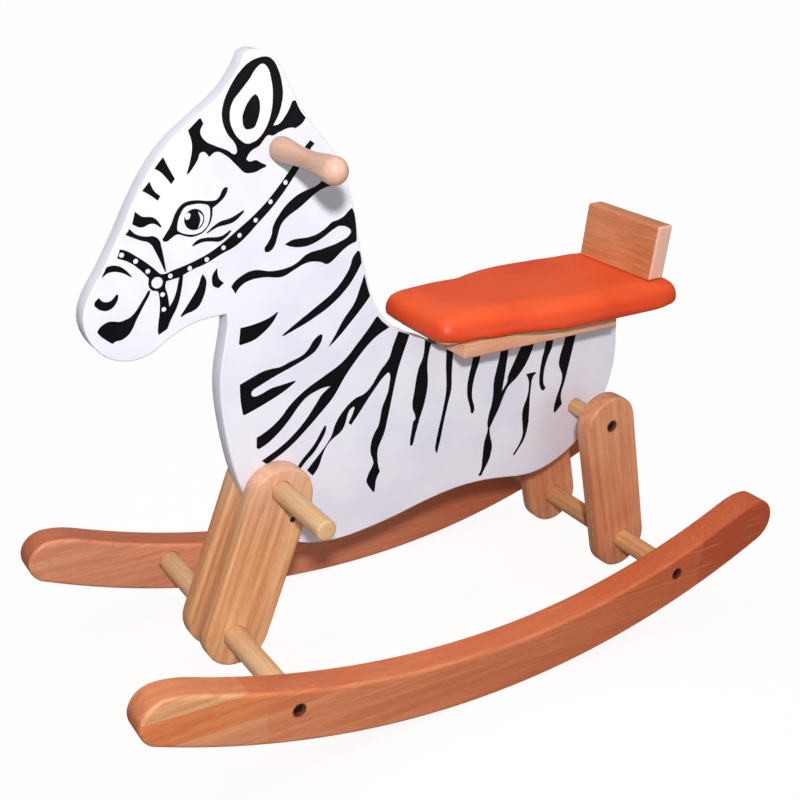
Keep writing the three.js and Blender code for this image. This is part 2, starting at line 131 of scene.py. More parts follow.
class Finish:
    """A material whose surface is one Principled shader."""

    def __init__(self, name, **constants):
        self.material = bpy.data.materials.new(name)
        self.material.use_nodes = True
        self.nodes = self.material.node_tree.nodes
        self.links = self.material.node_tree.links
        self.shader = self.nodes["Principled BSDF"]
        for socket, value in constants.items():
            self.shader.inputs[socket.replace("_", " ")].default_value = value
        self.place = self.node("ShaderNodeTexCoord", output="Object")

    def node(self, kind, settings=None, values=None, output=0):
        made = self.nodes.new(kind)
        for name, setting in (settings or {}).items():
            setattr(made, name, setting)
        for socket, value in (values or {}).items():
            self.feed(made.inputs[socket], value)
        return Amount(self, made.outputs[output])

    def feed(self, socket, value):
        if isinstance(value, Amount):
            self.links.new(value.socket, socket)
        else:
            socket.default_value = value

    def surface(self, **sockets):
        for socket, value in sockets.items():
            self.feed(self.shader.inputs[socket.replace("_", " ")], value)
        return self

    def blend(self, amount, first, second):
        """The first colour where amount is 0, the second where it is 1."""
        return self.node("ShaderNodeMix", {"data_type": "RGBA"}, {0: amount, 6: first, 7: second}, 2)

    def along(self, axis):
        """One Object coordinate: 0 for X, 1 for Y, 2 for Z."""
        return self.node("ShaderNodeSeparateXYZ", None, {0: self.place}, axis)

    def turned(self, lean=0, spin=0, sizes=(1, 1, 1)):
        """Object coordinates on a piece that leans, measured in its own pattern sizes."""
        return self.node(
            "ShaderNodeMapping",
            {"vector_type": "TEXTURE"},
            {"Vector": self.place, "Rotation": (0, lean, spin), "Scale": sizes},
        )

    def noise(self, vector, scale=1, detail=3, roughness=0.5, distortion=0):
        return self.node(
            "ShaderNodeTexNoise",
            None,
            {
                "Vector": vector,
                "Scale": scale,
                "Detail": detail,
                "Roughness": roughness,
                "Distortion": distortion,
            },
        )

    def bump(self, height, depth, strength=1.0):
        """A normal from a height between 0 and 1 that stands for depth metres."""
        settings = {"Height": height, "Distance": depth, "Strength": strength}
        normal = self.node("ShaderNodeBump", None, settings)
        self.feed(self.shader.inputs["Normal"], normal)


# %% [markdown]
# ## Varnished wood
#
# Planed wood shows long soft bands from its yearly growth, fine pores along the same
# direction, and slow changes of tone. Three noises, all stretched along the grain, give
# that at the scale of real beech and pine. The grain direction is a lean about Y.


# %% The wood recipe
ALONG_X = 0
HOLE_SHADE = (5.6 * MM, 7 * MM)  # radii where the painted shade round a sunk hole starts to fade, and ends
HOLE_SHADE_COLOUR = colour(64, 20, 12)
END_BLUR = 0.4 * MM
ALONG_Y = pi / 2


def wood(
    name,
    pale,
    deep,
    lean=ALONG_X,
    spin=0,
    bands=0.006,
    run=0.16,
    gloss=0.34,
    seed=0,
    tone=None,
    shaded_holes=(),
    ends=None,
):
    """A varnished wood; pale and deep are its two tones, bands the width of its growth.

    A tone function replaces the plain mix of the two, round the sunk screws at the hole
    centres the wood is painted darker as shade, and ends gives the tone of the wood beyond a place along Y.
    """
    finish = Finish(name, IOR=1.45, Coat_Roughness=0.15, Specular_IOR_Level=0.35)
    grain = finish.turned(lean, spin, (run, bands, bands))
    moved = finish.node(
        "ShaderNodeVectorMath", {"operation": "ADD"}, {0: grain, 1: (seed * 1.7, seed * 3.1, seed * 2.3)}
    )
    growth = finish.noise(moved, 1, 2, 0.45, 0.6).between(0.3, 0.7)
    fine = finish.noise(moved, 4.5, 3, 0.6)
    pores = finish.noise(moved, 13, 2, 0.5).between(0.5, 0.72)
    slow = finish.noise(finish.place, 14, 1, 0.4).between(0.3, 0.7)
    mixed = growth * 0.5 + slow * 0.5
    base = finish.blend(mixed, pale, deep) if tone is None else tone(finish, growth)
    light_streaks = finish.noise(moved, 2.4, 2, 0.5).between(0.55, 0.8) * 0.35
    base = finish.blend(light_streaks, base, tuple(min(c * 1.25, 1) for c in pale[:3]) + (1,))
    darker = (deep[0] * 0.66, deep[1] * 0.5, deep[2] * 0.4, 1)
    shaded = finish.blend(pores * 0.3 + (1 - fine) * 0.2, base, darker)
    if ends is not None:
        beyond, end_tone = ends
        past_end = finish.along(1).between(beyond - END_BLUR, beyond)
        shaded = finish.blend(past_end, shaded, end_tone)
    # painted shade: the wood darkens round each sunk screw, for the shade inside its hole
    for centre in shaded_holes:
        dx, dz = finish.along(0) - centre.x, finish.along(2) - centre.z
        painted_hole_shade = 1 - (dx * dx + dz * dz).between(*(radius**2 for radius in HOLE_SHADE))
        shaded = finish.blend(painted_hole_shade * 0.85, shaded, HOLE_SHADE_COLOUR)
    finish.surface(Base_Color=shaded, Roughness=gloss + fine * 0.16, Coat_Weight=0.12)
    finish.bump(fine * 0.6 + (1 - pores) * 0.4, 0.00012, 0.5)
    return finish.material


def middle_of(node):
    low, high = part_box(node)
    return (low + high) / 2


print("wood recipe ready")

# %% [markdown]
# ## Rockers glued from staves
#
# The left rocker is sawn from a panel of short staves glued edge to edge and end to end, so
# its tone changes at straight lines: pale at the front tip, red towards the rear. Part of that
# red, and a darkening towards the rear, is painted shade for light that falls off with distance.
# The lines are places in the piece, so they come from its Object coordinates. The right rocker
# is one long stave, with the same painted shade to the rear. The bent edge of both is painted
# darker than their flat faces, as shade.


# %% Rocker varnish
FRONT_JOINT, REAR_JOINT = 0.239, -0.243  # where staves meet end to end, along X
HIGH_JOINT, LOW_JOINT = 0.078, 0.061  # where they meet edge to edge, at the middle
HIGH_CLIMB, LOW_CLIMB = 0.05, 0.02  # how fast those lines rise to the front
HALF_JOINT = 0.5 * MM


def past(amount, joint):
    """0 on one side of a glue line and 1 on the other."""
    return amount.between(joint - HALF_JOINT, joint + HALF_JOINT)


def painted_falloff_rearward(finish):
    """0 at the front tip, 1 at the rear one: the share of painted shade where the light falls off."""
    return (finish.along(0) * -1.46 + 0.5).capped()


def on_rim(finish, node):
    """1 where the piece's bent edge shows, 0 on its two flat faces."""
    low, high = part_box(node)
    off = finish.along(1) - (low.y + high.y) / 2
    half = (high.y - low.y) / 2
    return 1 - (off * off).between((half - 4 * MM) ** 2, (half - 1.5 * MM) ** 2)


def stave_tones(finish, growth):
    """The colour of each stave, by its place along and up the rocker, with painted shade to the rear and on the
    bent edge.
    """
    x, z = finish.along(0), finish.along(2)
    # painted shade: the staves grow darker and redder to the rear, where the light falls off
    back = painted_falloff_rearward(finish)
    high = past(z - x * HIGH_CLIMB, HIGH_JOINT)
    low = 1 - past(z - x * LOW_CLIMB, LOW_JOINT)
    middle = finish.blend(back, colour(226, 144, 98), colour(198, 88, 48))
    middle_low = finish.blend(back, colour(234, 166, 122), colour(212, 104, 58))
    middle = finish.blend(low * 0.6, middle, middle_low)
    front = finish.blend(high, colour(230, 140, 88), colour(232, 178, 130))
    front = finish.blend(low, front, colour(230, 162, 118))
    rear = finish.blend(low, colour(188, 80, 46), colour(196, 98, 64))
    tone = finish.blend(1 - past(x, REAR_JOINT), middle, rear)
    tone = finish.blend(past(x, FRONT_JOINT), tone, front)
    tone = finish.blend(growth * 0.4, tone, colour(186, 82, 42))
    # painted shade: the bent edge, lit less than the flat faces, is painted darker
    return finish.blend(on_rim(finish, "rocker_left") * 0.6, tone, colour(196, 98, 56))


def plain_tones(finish, growth):
    """One long stave, redder and darker to the rear and on its bent edge, both painted shade."""
    # painted shade: redder and darker to the rear, where the light falls off
    tone = finish.blend(painted_falloff_rearward(finish), colour(236, 166, 130), colour(196, 96, 58))
    tone = finish.blend(growth * 0.4, tone, colour(194, 98, 58))
    # painted shade: the bent edge, lit less than the flat faces, is painted darker
    return finish.blend(on_rim(finish, "rocker_right") * 0.75, tone, colour(180, 88, 50))


rocker_tones = colour(228, 146, 100), colour(196, 92, 52)
rocker_holes = [middle_of(f"{end}_rocker_screw_left") for end in ("front", "rear")]
rocker_varnish = {
    side: wood(
        f"rocker_varnish_{side}",
        *rocker_tones,
        spin=radians(spin),
        seed=seed,
        tone=tone,
        shaded_holes=rocker_holes,
    )
    for side, spin, seed, tone in (("left", 2, 0, stave_tones), ("right", -2, 9, plain_tones))
}
print("rocker finishes:", [material.name for material in rocker_varnish.values()])

# %% [markdown]
# ## The other woods
#
# Legs, dowels, grips, seat board and backrest are different cuts of wood. Each takes the same
# recipe with its own two tones and its own grain direction.


# %% Mix the woods
def leaning(lower_node, upper_node):
    """The lean of a leg that holds these two dowels, as a turn of grain that starts along X."""
    rise = middle_of(upper_node) - middle_of(lower_node)
    return atan2(rise.x, rise.z) - pi / 2


front_lean = leaning("front_lower_dowel", "footrest_dowel")
rear_lean = leaning("rear_lower_dowel", "rear_upper_dowel")


def front_leg_tones(finish, growth):
    """Pale and pinkish at the crown, a painted highlight, warmer and more mixed further down."""
    tone = finish.blend(growth, colour(242, 192, 142), colour(210, 140, 90))
    patches = finish.noise(finish.place, 34, 2, 0.5).between(0.42, 0.62)
    tone = finish.blend(patches * 0.4, tone, colour(232, 158, 112))
    # painted highlight: the crown is blended towards a pale pink where light from above falls
    return finish.blend(finish.along(2).between(0.14, 0.235) * 0.5, tone, colour(244, 210, 190))


front_leg_wood = wood(
    "front_leg_wood", colour(236, 182, 132), colour(198, 124, 76), front_lean, seed=3, tone=front_leg_tones
)
rear_leg_wood = wood(
    "rear_leg_wood",
    colour(236, 168, 126),
    colour(202, 116, 74),
    rear_lean,
    seed=5,
    shaded_holes=[middle_of("rear_leg_screw_left")],
)
turning = {"spin": ALONG_Y, "bands": 0.004}
dowel_wood = wood(
    "dowel_wood", colour(232, 194, 150), colour(208, 158, 112), seed=7, gloss=0.45, **turning
)
rear_dowel_wood = wood(
    "rear_dowel_wood", colour(230, 180, 130), colour(202, 138, 92), seed=6, gloss=0.45, **turning
)
grip_wood = wood(
    "grip_wood", colour(230, 194, 172), colour(216, 168, 144), seed=2, gloss=0.36, **turning
)
seat_board_wood = wood(
    "seat_board_wood", colour(238, 184, 152), colour(222, 156, 120), seed=4, gloss=0.42
)
backrest_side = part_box("backrest")[1].y
backrest_wood = wood(
    "backrest_wood",
    colour(236, 164, 118),
    colour(206, 124, 78),
    spin=ALONG_Y,
    bands=0.0035,
    run=0.05,
    seed=8,
    ends=(backrest_side - 1.5 * MM, colour(232, 184, 162)),
)
plywood = wood(
    "base_plywood", colour(216, 180, 138), colour(186, 144, 100), bands=0.012, seed=6, gloss=0.6
)
print("leans in degrees:", round(front_lean * 180 / pi, 1), round(rear_lean * 180 / pi, 1))

# %% [markdown]
# ## Paint, vinyl and steel
#
# Brushed-on enamel is never quite even: it pools a little and shows faint brush lines. Vinyl
# has a soft sheen and a pressed leather grain; its wall is painted deeper than its top, as
# shade. Screw heads are plated steel, dulled by handling, and painted dark as the shade in their holes.

# %% Mix the other finishes
board_paint = Finish("board_paint", IOR=1.5, Coat_Roughness=0.15)
pooling = board_paint.noise(board_paint.place, 18, 2, 0.5).between(0.35, 0.65)
brushed = board_paint.noise(board_paint.turned(0, 0, (0.05, 0.05, 0.0015)), 1, 2, 0.6)
board_paint.surface(
    Base_Color=board_paint.blend(pooling, colour(240, 239, 249), colour(233, 232, 246)),
    Roughness=0.34 + brushed * 0.12,
    Coat_Weight=0.2,
)
board_paint.bump(brushed, 0.00004, 0.4)

stripe_paint = Finish("stripe_paint", IOR=1.4, Specular_IOR_Level=0.15)
worn = stripe_paint.noise(stripe_paint.place, 60, 3, 0.6)
stripe_paint.surface(
    Base_Color=stripe_paint.blend(worn, colour(6, 5, 8), colour(18, 16, 19)), Roughness=0.36 + worn * 0.14
)
stripe_paint.bump(worn, 0.00003, 0.3)

vinyl = Finish("cushion_vinyl", IOR=1.45, Coat_Roughness=0.4, Specular_IOR_Level=0.4)
pebbles = vinyl.node(
    "ShaderNodeTexVoronoi",
    {"feature": "SMOOTH_F1"},
    {"Vector": vinyl.place, "Scale": 620, "Smoothness": 0.8},
)
creases = vinyl.noise(vinyl.place, 30, 4, 0.55)
mottle = vinyl.noise(vinyl.place, 16, 2, 0.5).between(0.3, 0.7)
SEAT_CLIMB = 0.0297  # how fast the seat rises to the rear
# painted shade: the wall is a deeper orange than the top
up_wall = (vinyl.along(2) + vinyl.along(0) * SEAT_CLIMB).between(0.3165, 0.3265)
vinyl.surface(
    Base_Color=vinyl.blend(
        up_wall,
        vinyl.blend(mottle, colour(220, 70, 24), colour(210, 60, 18)),
        vinyl.blend(mottle, colour(240, 90, 40), colour(230, 78, 30)),
    ),
    Roughness=0.42 + pebbles * 0.14,
    Coat_Weight=0.1,
)
vinyl.bump(pebbles * 0.6 + creases * 0.8, 0.00022, 0.5)

steel = Finish("screw_steel", Metallic=0.85)
scuffs = steel.noise(steel.place, 900, 2, 0.6)
# painted shade: both steel tones are dark, for the shade in the sunk holes round the heads
steel.surface(
    Base_Color=steel.blend(scuffs, colour(88, 72, 66), colour(40, 28, 24)), Roughness=0.28 + scuffs * 0.25
)
print("finishes:", len(bpy.data.materials))

# %% [markdown]
# ## Eased edges on sawn wood
#
# Every sawn piece is sanded round at its edges, widely along its outline and only slightly at
# a drilled hole. The frame's own mesh has the exact shape, so a merged copy of it is bevelled:
# each sharp edge belongs to a chain, and a short chain is the rim of a hole.


# %% Find sharp chains and ease them
SEAT = Matrix.Translation((7 * MM, 0, 290 * MM)) @ Matrix.Rotation(radians(1.7), 4, "Y")
SHARP = radians(50)
HOLE_EXTENT = 26 * MM
HOLE_RING = 1.2 * MM


def merged_copy(node):
    """The node's mesh as one closed bmesh with flat faces joined."""
    shape = bmesh.new()
    shape.from_mesh(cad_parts[node].data)
    bmesh.ops.remove_doubles(shape, verts=shape.verts, dist=2e-6)
    bmesh.ops.dissolve_limit(
        shape,
        angle_limit=radians(0.3),
        verts=shape.verts,
        edges=shape.edges,
        use_dissolve_boundaries=False,
    )
    return shape


def sharp_chains(shape):
    """Connected sharp edges, one list for each chain."""
    paired = (edge for edge in shape.edges if len(edge.link_faces) == 2)
    sharp = {edge for edge in paired if edge.calc_face_angle() > SHARP}
    chains = []
    while sharp:
        chain, fresh = [], [min(sharp, key=lambda edge: edge.index)]
        sharp.discard(fresh[0])
        while fresh:
            edge = fresh.pop()
            chain.append(edge)
            for vert in edge.verts:
                for other in vert.link_edges:
                    if other in sharp:
                        sharp.discard(other)
                        fresh.append(other)
        chains.append(chain)
    return chains


def extent(chain):
    corners = [vert.co for edge in chain for vert in edge.verts]
    return max(max(c[axis] for c in corners) - min(c[axis] for c in corners) for axis in range(3))


def finished(name, shape, material, slot, *nodes):
    """A piece from a bmesh, in place, with its finish and what it stands for."""
    mesh = bpy.data.meshes.new(name)
    shape.to_mesh(mesh)
    shape.free()
    mesh.materials.append(material)
    piece = bpy.data.objects.new(name, mesh)
    bpy.context.scene.collection.objects.link(piece)
    for face in mesh.polygons:
        face.use_smooth = True
    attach(piece, "root")
    if nodes:
        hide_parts(*nodes)
    return piece


def loops_of(edges):
    """The same edges as separate closed loops."""
    left, loops = set(edges), []
    for first in edges:
        if first in left:
            left.discard(first)
            loop, ends = [first], list(first.verts)
            while ends:
                for other in ends.pop().link_edges:
                    if other in left:
                        left.discard(other)
                        loop.append(other)
                        ends += other.verts
            loops.append(loop)
    return loops


def framed_side(shape, facing, margin):
    """Replaces one flat side by a frame of even faces along its outline, and a fill."""
    side = [f for f in shape.faces if f.normal.dot(facing) > 0.9999]
    reach = max(f.calc_center_median().dot(facing) for f in side)
    side = [f for f in side if f.calc_center_median().dot(facing) > reach - 0.1 * MM]
    border = [e for f in side for e in f.edges if sum(g in side for g in e.link_faces) == 1]
    bmesh.ops.delete(shape, geom=side, context="FACES_ONLY")
    loose = [e for e in shape.edges if not e.link_faces]
    bmesh.ops.delete(shape, geom=loose, context="EDGES")
    loops = sorted(loops_of(border), key=extent)
    outline = loops.pop()
    face = bmesh.ops.contextual_create(shape, geom=outline)["faces"][0]
    bmesh.ops.inset_region(shape, faces=[face], thickness=margin, use_even_offset=True)
    inner = face.edges[:]
    bmesh.ops.delete(shape, geom=[face], context="FACES_ONLY")
    for loop in loops:
        grown = bmesh.ops.extrude_edge_only(shape, edges=loop)["geom"]
        ring_verts = [g for g in grown if isinstance(g, bmesh.types.BMVert)]
        centre = sum((v.co for v in ring_verts), Vector()) / len(ring_verts)
        factor = 1 + HOLE_RING / (ring_verts[0].co - centre).length
        around = Matrix.Translation(-centre)
        bmesh.ops.scale(shape, vec=(factor,) * 3, space=around, verts=ring_verts)
        inner += [g for g in grown if isinstance(g, bmesh.types.BMEdge)]
    bmesh.ops.triangle_fill(shape, use_beauty=True, edges=inner)


def eased(name, node, material, slot, width, facing=(0, 1, 0), hole_width=0.4 * MM, segments=4):
    """A sawn piece with a wide round along its outline and a small one at each hole."""
    shape = merged_copy(node)
    for sign in (1, -1):
        framed_side(shape, sign * Vector(facing), 1.25 * width)
    bmesh.ops.recalc_face_normals(shape, faces=shape.faces)
    shape.edges.index_update()
    weight = shape.edges.layers.float.new("bevel_weight_edge")
    for chain in sharp_chains(shape):
        for edge in chain:
            edge[weight] = hole_width / width if extent(chain) < HOLE_EXTENT else 1
    piece = finished(name, shape, material, slot, node)
    round_over = piece.modifiers.new("eased edges", "BEVEL")
    round_over.limit_method = "WEIGHT"
    round_over.width = width
    round_over.segments = segments
    round_over.use_clamp_overlap = False
    round_over.harden_normals = True
    return piece


# %% [markdown]
# ## Sawn pieces
#
# Two rockers, four legs, the painted board, the seat board and the backrest all come from
# sawn wood, so one call each is enough. Only the width of the eased edge differs.

# %% Rockers, legs, board, seat board and backrest
for side in ("left", "right"):
    eased(f"eased_rocker_{side}", f"rocker_{side}", rocker_varnish[side], "rocker_wood", 3.2 * MM)
    eased(f"eased_front_leg_{side}", f"front_leg_{side}", front_leg_wood, "leg_wood", 3 * MM)
    eased(f"eased_rear_leg_{side}", f"rear_leg_{side}", rear_leg_wood, "leg_wood", 3 * MM)
eased("painted_board", "zebra_board", board_paint.material, "board_paint", 1.3 * MM)
seat_up = SEAT.to_3x3() @ Vector((0, 0, 1))
eased("eased_seat_board", "seat_board", seat_board_wood, "seat_wood", 1.8 * MM, seat_up)
eased("eased_backrest", "backrest", backrest_wood, "backrest_wood", 2.6 * MM)

# %% [markdown]
# ## Turned pieces
#
# Dowels and grips are turned on a lathe. Spinning half of the profile about the piece's
# axis is the same operation, and more steps make it rounder than the frame's version.


# %% Turn a profile on the lathe
def turned(name, profile, centre, side, material, slot, node, steps=56):
    """A turned piece along Y from [radius, y] pairs; side is 1, or -1 to face the other way."""
    shape = bmesh.new()
    line = [shape.verts.new((radius, along * side, 0)) for radius, along in profile]
    edges = [shape.edges.new(pair) for pair in zip(line, line[1:])]
    bmesh.ops.spin(
        shape,
        geom=line + edges,
        cent=(0, 0, 0),
        axis=(0, 1, 0),
        angle=2 * pi,
        steps=steps,
        use_merge=True,
    )
    bmesh.ops.remove_doubles(shape, verts=shape.verts, dist=1e-6)
    bmesh.ops.recalc_face_normals(shape, faces=shape.faces)
    bmesh.ops.translate(shape, vec=centre, verts=shape.verts)
    piece = finished(name, shape, material, slot, node)
    piece.data.set_sharp_from_angle(angle=radians(38))
    return piece


def corner(radius, along, ease, count=5):
    """Profile points round the end of a rod, from its side to its end face."""
    return [
        (radius - ease + ease * cos(pi / 2 * i / count), along - ease + ease * sin(pi / 2 * i / count))
        for i in range(count + 1)
    ]


def rod_profile(radius, half, ease):
    """A rod with both ends eased, from one end's centre to the other's."""
    end = corner(radius, half, ease)
    return [(0, -half), *((r, -a) for r, a in reversed(end)), *end, (0, half)]


# %% Dowels
for node, ease in (
    ("front_lower_dowel", 1),
    ("rear_lower_dowel", 1),
    ("footrest_dowel", 2.2),
    ("rear_upper_dowel", 1),
):
    low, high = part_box(node)
    profile = rod_profile((high.z - low.z) / 2, (high.y - low.y) / 2, ease * MM)
    kind = rear_dowel_wood if "rear" in node else dowel_wood
    turned(f"turned_{node}", profile, (low + high) / 2, 1, kind, "dowel_wood", node)
low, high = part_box("footrest_dowel")
print("footrest length:", round((high - low).y, 4))

# %% Hand grips
GRIP_SHAPE = [(6, 0), (9, 3.5), (9.7, 9), (8.7, 20), (7.3, 40), (7.8, 56), (9.6, 72), (10.3, 83)]
GRIP_END_ROUND = 10
STUD_HOLE = (4.3, 24)


def smooth_line(points, count):
    """Points along a curve through the chosen ones, each stretch shaped by its neighbours."""
    line = []
    padded = [points[0], *points, points[-1]]
    for corners in zip(padded, padded[1:], padded[2:], padded[3:]):
        for i in range(count):
            t = i / count
            line.append(
                tuple(
                    0.5
                    * (
                        2 * b
                        + (c - a) * t
                        + (2 * a - 5 * b + 4 * c - d) * t**2
                        + (3 * b - a - 3 * c + d) * t**3
                    )
                    for a, b, c, d in zip(*corners)
                )
            )
    return [*line, points[-1]]


for side, sign in (("left", 1), ("right", -1)):
    node = f"handle_grip_{side}"
    low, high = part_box(node)
    foot = low.y if sign > 0 else high.y
    centre = Vector(((low.x + high.x) / 2, foot, (low.z + high.z) / 2))
    end_radius, end_y = GRIP_SHAPE[-1]
    angles = [pi / 2 * i / 8 for i in range(1, 8)]
    end = [(end_radius * cos(a), end_y + GRIP_END_ROUND * sin(a)) for a in angles]
    hole_radius, hole_depth = STUD_HOLE
    outside = [*smooth_line(GRIP_SHAPE, 5), *end, (0, end_y + GRIP_END_ROUND)]
    profile = [(0, hole_depth), (hole_radius, hole_depth), (hole_radius, 0), *outside]
    profile = [(r * MM, a * MM) for r, a in profile]
    turned(f"turned_grip_{side}", profile, centre, sign, grip_wood, "grip_wood", node)

# %% [markdown]
# ## Screws
#
# The screws that show sit at the bottom of a sunk hole. A turned head with a cross cut into
# it reads as a screw at any distance. The cross is taken out by a boolean with a star-shaped
# punch made from two crossed bars.


# %% Turned heads with a cross recess
HEAD, HEAD_HEIGHT, SHANK = 4.3, 2.4, 2.1
HEAD_SHAPE = [(HEAD, 0), (HEAD, 1.3), (3.8, 1.95), (2.7, 2.32), (0, HEAD_HEIGHT)]
CROSS = Vector((4.6, 3, 1.1)) * MM  # reach, twice the depth, and width of one bar
CROSS_TURN = 0.5


def cross_punch(centre):
    """Two crossed bars, as a body to cut with."""
    punch = bmesh.new()
    for turn in (CROSS_TURN, CROSS_TURN + pi / 2):
        bar = bmesh.ops.create_cube(punch, size=1)["verts"]
        bmesh.ops.scale(punch, vec=CROSS, verts=bar)
        bmesh.ops.rotate(punch, cent=(0, 0, 0), matrix=Matrix.Rotation(turn, 3, "Y"), verts=bar)
    bmesh.ops.translate(punch, vec=centre, verts=punch.verts)
    mesh = bpy.data.meshes.new("punch")
    punch.to_mesh(mesh)
    punch.free()
    tool = bpy.data.objects.new("punch", mesh)
    bpy.context.scene.collection.objects.link(tool)
    return tool


def crossed_screw(node, side, length):
    """The node's screw, turned again with a cross recess; side is the way its head faces."""
    low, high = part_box(node)
    head_y = high.y if side > 0 else low.y
    seat_y = head_y - side * HEAD_HEIGHT * MM
    centre = Vector(((low.x + high.x) / 2, seat_y, (low.z + high.z) / 2))
    profile = [(0, -length), (SHANK, -length), (SHANK, 0), *HEAD_SHAPE]
    profile = [(r * MM, a * MM) for r, a in profile]
    name = node.replace("screw", "cross_screw")
    screw = turned(name, profile, centre, side, steel.material, "screw_steel", node, steps=32)
    tool = cross_punch(centre + Vector((0, side * HEAD_HEIGHT * MM, 0)))
    boolean = screw.modifiers.new("cross", "BOOLEAN")
    boolean.operation = "DIFFERENCE"
    boolean.object = tool
    boolean.solver = "EXACT"
    boolean.use_self = True
    shown = bpy.context.evaluated_depsgraph_get()
    cut = bpy.data.meshes.new_from_object(screw.evaluated_get(shown))
    screw.modifiers.clear()
    screw.data = cut
    bpy.data.objects.remove(tool)


for side, sign in (("left", 1), ("right", -1)):
    for place, length in (("front_rocker", 38), ("rear_rocker", 38), ("rear_leg", 32)):
        crossed_screw(f"{place}_screw_{side}", sign, length)
for name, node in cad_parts.items():
    if not node.hide_render:
        node.data.materials.clear()
        node.data.materials.append(plywood if name == "cushion_base" else steel.material)

# %% [markdown]
# ## The zebra's markings
#
# The markings are painted shapes with crisp edges, so each is a flat closed curve, filled
# and given the thickness of a coat of paint. Points are x and z in millimetres on the
# board's face; a slash marks a corner, and the curve runs smoothly through the others.
# A marking with several lines has holes in it.

# %% Head and ear
MARKINGS = {
    "ear": [
        """/175,489.4 171,490 164,497.5 /159.2,507 /156.5,507 152,499 /147.5,494.2 150,490.5
    /156,486.5 160,487.2 170,484.2 175,482 179.4,482.3 183,478.8 186.3,475 191.3,472.5 194.4,470
    /196.9,465.6 194.4,463.8 188.8,464.4 185,462.5 /180,460.3 /180.6,458.8 185,457.3 188.8,455.6
    193.8,455 198,455.6 203.8,460.6 213,468.8 221.3,472.3 /226.9,468.8 230,472.3 231.9,472.8
    234,471.9 235.6,468 240,461.3 /243,457.8 /244.6,457.3 241.9,466.3 240.3,478.8 /243.3,488.8
    /234.8,496.6 /233.4,496.9 /231.3,493.1 233.8,487.5 230.6,481.3 222.5,476.9 212.5,473
    206.3,469.8 /205,470.3 204.6,472.5 206.3,477.5 212.5,485 216.5,495 216.5,503.8 211.3,517
    201.3,530.6 195,535.6 188.8,538.1 182.5,539 178,537.8 172,530 168,517 167.5,511.3 168.4,505
    170.6,497.5""",
        """185,534 181.3,532 177.5,523 175.9,511.3 177.3,497.5 181.3,487.5 187.5,480 191.3,478
    196.3,477 202,480 208,487.5 210.6,496.3 208.8,507 202.5,515 195.6,523 188.8,532""",
    ],
    "ear_drop": [
        """/190.4,512.8 188,510.6 186.3,502 188.8,492 190.6,488.8 194.4,487.5 198,488 200.4,495
    199.6,500 193.8,510""",
    ],
    "forehead_1": [
        """/262.5,470.9 258.8,463.8 /253.6,454.6 /256.5,451 261.3,456.9 265,460.6 /269.1,462.8
    267.5,465""",
    ],
    "forehead_2": [
        "/273.1,454.1 269.4,446.9 /265,443.1 /266.9,439.8 272.5,444 /278.6,447.8 275,451.9",
    ],
    "nose_1": [
        """/284.4,433.3 281.7,431.1 279.4,429.4 271.1,428 267.8,425.6 /264.3,420.6 /265.2,419.8
    269.4,422.8 272.8,423.3 280,421.3 /286.7,424.2 285.4,429.4""",
    ],
    "nose_2": [
        """/288.9,421.4 286.7,418.9 284.4,416.9 276.1,414.2 271.1,414.1 266.3,410.6 264.8,405.6
    262.2,392.2 /261.3,386.7 /262.2,386.1 268.9,401.1 273.9,409.1 280.6,411.7 /292.2,417
    290,419.4""",
    ],
    "nostril_fold": [
        """/306,394.8 302.4,395.4 298.3,394.7 293.9,392.2 /287.6,385.3 /288.9,385.3 296.1,389.4
    305,390.3 /310,387.3 /310.4,388 308.6,391 /307.2,394""",
    ],
    "nostril": [
        """/298.9,373.3 298.6,371.7 301.7,365 305,362.6 308.9,361.9 315.6,365.6 316.7,368.3
    /313.1,372.6 310.8,369.7 308.3,368.6 305,368.9 302.2,370.9 /300.2,373.3""",
    ],
    "mouth": [
        """/274.4,373.7 274.1,372.2 279.4,362.2 285.6,351.1 288.3,345.6 292.2,340.6 297.2,337.8
    301.7,337.2 /303.9,335.9 /305.6,336.7 312.2,342.2 /315.2,345.8 314.8,347.8 307.8,353
    303.9,353.3 298.3,352.2 293.9,353.1 289.4,355 280.6,365.6 /275.6,373.3""",
    ],
    "eye": [
        """/263.9,410.9 257.2,421.1 253.9,428.9 250,434.4 246.1,436.9 239.4,437.9 226.1,436.6
    221.7,436.8 219.4,438.1 215.3,445 /213.5,446 /211.5,445.3 213.1,440.6 217.5,435.6
    /223.9,431.1 225,422.2 227.2,417.8 230.6,413.9 235,411.7 240.6,410.6 246.1,411.7 250.6,413.3
    253.3,413.3 257.2,410.9 261.1,408.9 /263.3,409.4""",
        """/252.2,416.7 252.2,420 249.4,428.9 246.1,433.3 241.7,434.7 230.6,434.4 227.2,432.8
    226.1,428.9 227.8,418.9 231.1,415 235,413 240.6,412.4 250,415""",
    ],
    "cheek_1": [
        """/228.9,412.6 223.3,417.2 217.8,420.2 210,422 204.4,424.4 /198.3,427.6 /198.3,425.6
    206.7,418.9 213.3,417.2 220,416.1 /228.3,412""",
    ],
    "cheek_2": [
        """/240.8,403.9 236.1,407.8 230.6,408.9 217.2,408.9 213.3,410.6 /210,412.8 /208.3,412.4
    212.8,407.8 218.3,405 225,405.6 231.7,405.8 /240,403.3""",
    ],
    "jaw_1": [
        """/232.2,381.1 229.4,376.7 229.2,371.1 232.2,361.1 235.6,355.6 240,352.8 245,351.4
    /250,349.1 /250.3,350.2 242.8,360.6 235.6,372.2 /233.7,377.8""",
    ],
    "jaw_2": [
        """/220,384.8 219.8,380 218.3,375.6 /214.4,372 /218.9,368.3 223.3,370.6 224.4,374.4
    223.9,379.4""",
    ],
}
print("head markings:", len(MARKINGS))

